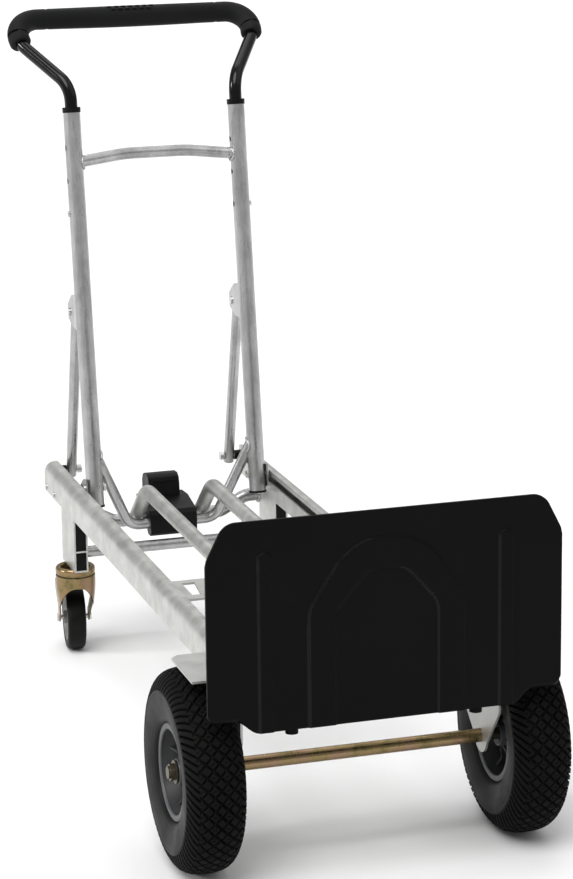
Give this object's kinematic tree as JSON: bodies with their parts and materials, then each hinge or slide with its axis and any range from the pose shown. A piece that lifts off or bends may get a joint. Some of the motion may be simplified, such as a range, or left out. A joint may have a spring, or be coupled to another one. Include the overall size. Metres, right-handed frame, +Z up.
{
  "type": "hand truck",
  "caption": "Convertible platform hand truck: upright toe plate, rail deck, tyred front wheels, swivel casters and a folding braced handle frame that telescopes.",
  "frame": {"origin": "centre of the bounding box on the floor", "axes": "+Z up, -Y towards the toe plate and the large wheels, +X to the right of a person who faces the toe plate from the front"},
  "size_m": [0.502, 1.217, 0.964],
  "materials": {
    "axle": "yellow zinc plated steel",
    "axle_bracket_left": "silver paint",
    "axle_bracket_right": "silver paint",
    "axle_nuts": "yellow zinc plated steel",
    "axle_sleeve": "yellow zinc plated steel",
    "axle_washers": "yellow zinc plated steel",
    "brace_left": "satin aluminium tube",
    "brace_right": "satin aluminium tube",
    "brace_spacers": "black moulded plastic",
    "brace_studs": "zinc plated steel",
    "caster_axle_left": "zinc plated steel",
    "caster_axle_right": "zinc plated steel",
    "caster_fork_left": "yellow zinc plated steel",
    "caster_fork_right": "yellow zinc plated steel",
    "caster_hub_left": "grey moulded rim",
    "caster_hub_right": "grey moulded rim",
    "caster_king_bolts": "zinc plated steel",
    "caster_races": "yellow zinc plated steel",
    "caster_tyre_left": "black rubber",
    "caster_tyre_right": "black rubber",
    "centre_tube_left": "satin aluminium tube",
    "centre_tube_right": "satin aluminium tube",
    "collars": "black moulded plastic",
    "cross_plate": "plain extruded aluminium",
    "ear_brackets": "satin aluminium tube",
    "ear_pins": "zinc plated steel",
    "foot_plugs": "matte black rubber",
    "grip": "charcoal foam rubber",
    "handle_guides": "satin aluminium tube",
    "handle_tube": "gloss black enamel",
    "latch_pedal": "black moulded plastic",
    "leg_cross_tube": "satin aluminium tube",
    "leg_fillers": "black moulded plastic",
    "leg_left": "plain extruded aluminium",
    "leg_right": "plain extruded aluminium",
    "lower_u_brace": "satin aluminium tube",
    "rail_end_caps": "black moulded plastic",
    "rail_left": "plain extruded aluminium",
    "rail_right": "plain extruded aluminium",
    "rail_rivets": "zinc plated steel",
    "rear_cross_member": "satin aluminium tube",
    "rim_left": "grey moulded rim",
    "rim_right": "grey moulded rim",
    "slide_bracket_bolts": "zinc plated steel",
    "slide_brackets": "satin aluminium tube",
    "slide_pins": "zinc plated steel",
    "slide_rollers": "black moulded plastic",
    "snap_buttons": "zinc plated steel",
    "toe_bumpers": "matte black rubber",
    "toe_cleat_bolts": "zinc plated steel",
    "toe_cleats": "black powder coat",
    "toe_plate": "black powder coat",
    "tyre_left": "black rubber tread",
    "tyre_right": "black rubber tread",
    "upper_cross_bar": "satin aluminium tube",
    "upright_left": "satin aluminium tube",
    "upright_right": "satin aluminium tube",
    "wheel_bushes_left": "bearing bush",
    "wheel_bushes_right": "bearing bush"
  },
  "bodies": {
    "frame": {"toe_plate": "toe_plate", "toe_cleats": "toe_cleats", "toe_cleat_bolts": "toe_cleat_bolts", "toe_bumpers": "toe_bumpers", "rail_left": "rail_left", "rail_right": "rail_right", "rail_end_caps": "rail_end_caps", "cross_plate": "cross_plate", "axle_bracket_left": "axle_bracket_left", "axle_bracket_right": "axle_bracket_right", "axle": "axle", "axle_sleeve": "axle_sleeve", "axle_nuts": "axle_nuts", "axle_washers": "axle_washers", "centre_tube_left": "centre_tube_left", "centre_tube_right": "centre_tube_right", "rear_cross_member": "rear_cross_member", "leg_left": "leg_left", "leg_right": "leg_right", "leg_fillers": "leg_fillers", "leg_cross_tube": "leg_cross_tube", "rail_rivets": "rail_rivets", "caster_races": "caster_races", "caster_king_bolts": "caster_king_bolts", "brace_studs": "brace_studs", "brace_spacers": "brace_spacers"},
    "wheel_left": {"tyre_left": "tyre_left", "rim_left": "rim_left", "wheel_bushes_left": "wheel_bushes_left"},
    "wheel_right": {"tyre_right": "tyre_right", "rim_right": "rim_right", "wheel_bushes_right": "wheel_bushes_right"},
    "caster_left": {"caster_fork_left": "caster_fork_left", "caster_axle_left": "caster_axle_left"},
    "caster_right": {"caster_fork_right": "caster_fork_right", "caster_axle_right": "caster_axle_right"},
    "caster_wheel_left": {"caster_tyre_left": "caster_tyre_left", "caster_hub_left": "caster_hub_left"},
    "caster_wheel_right": {"caster_tyre_right": "caster_tyre_right", "caster_hub_right": "caster_hub_right"},
    "brace_link_left": {"brace_left": "brace_left"},
    "brace_link_right": {"brace_right": "brace_right"},
    "handle_frame": {"upright_left": "upright_left", "upright_right": "upright_right", "upper_cross_bar": "upper_cross_bar", "lower_u_brace": "lower_u_brace", "foot_plugs": "foot_plugs", "collars": "collars", "ear_brackets": "ear_brackets", "ear_pins": "ear_pins", "slide_brackets": "slide_brackets", "slide_pins": "slide_pins", "slide_rollers": "slide_rollers", "slide_bracket_bolts": "slide_bracket_bolts"},
    "handle_loop": {"handle_tube": "handle_tube", "grip": "grip", "handle_guides": "handle_guides", "snap_buttons": "snap_buttons"},
    "pedal": {"latch_pedal": "latch_pedal"}
  },
  "joints": [
    {"name": "wheel_left_spin", "type": "hinge", "parent": "frame", "child": "wheel_left", "pos_m": [-0.2125, -0.47722, 0.13], "axis": [1, 0, 0], "continuous": true},
    {"name": "wheel_right_spin", "type": "hinge", "parent": "frame", "child": "wheel_right", "pos_m": [0.2125, -0.47722, 0.13], "axis": [1, 0, 0], "continuous": true},
    {"name": "caster_left_swivel", "type": "hinge", "parent": "frame", "child": "caster_left", "pos_m": [-0.157, 0.39778, 0.12], "axis": [0, 0, 1], "continuous": true},
    {"name": "caster_left_spin", "type": "hinge", "parent": "caster_left", "child": "caster_wheel_left", "pos_m": [-0.15237, 0.4355, 0.05], "axis": [0.9925, -0.1219, 0], "continuous": true},
    {"name": "caster_right_swivel", "type": "hinge", "parent": "frame", "child": "caster_right", "pos_m": [0.157, 0.39778, 0.12], "axis": [0, 0, 1], "continuous": true},
    {"name": "caster_right_spin", "type": "hinge", "parent": "caster_right", "child": "caster_wheel_right", "pos_m": [0.16163, 0.4355, 0.05], "axis": [0.9925, -0.1219, 0], "continuous": true},
    {"name": "brace_left_fold", "type": "hinge", "parent": "frame", "child": "brace_link_left", "pos_m": [-0.127, 0.53578, 0.256], "axis": [1, 0, 0], "range_deg": [0, 81.5]},
    {"name": "brace_right_fold", "type": "hinge", "parent": "frame", "child": "brace_link_right", "pos_m": [0.127, 0.53578, 0.256], "axis": [1, 0, 0], "range_deg": [0, 81.5]},
    {"name": "handle_frame_fold", "type": "hinge", "parent": "brace_link_left", "child": "handle_frame", "pos_m": [-0.127, 0.4703, 0.51897], "axis": [-1, 0, 0], "range_deg": [0, 163]},
    {"name": "handle_slide", "type": "slide", "parent": "handle_frame", "child": "handle_loop", "axis": [0, 0.1478, 0.989], "range_m": [0, 0.098], "deforming": ["snap_buttons"]},
    {"name": "pedal_lift", "type": "hinge", "parent": "handle_frame", "child": "pedal", "pos_m": [0, 0.41218, 0.193], "axis": [1, 0, 0], "range_deg": [0, 20], "stiffness_Nm_per_rad": 0.6, "springref_deg": -17.19}
  ],
  "couplings": [
    {"joint": "handle_frame_fold", "follows": "brace_left_fold", "ratio": 2},
    {"joint": "brace_right_fold", "follows": "brace_left_fold", "ratio": 1}
  ]
}
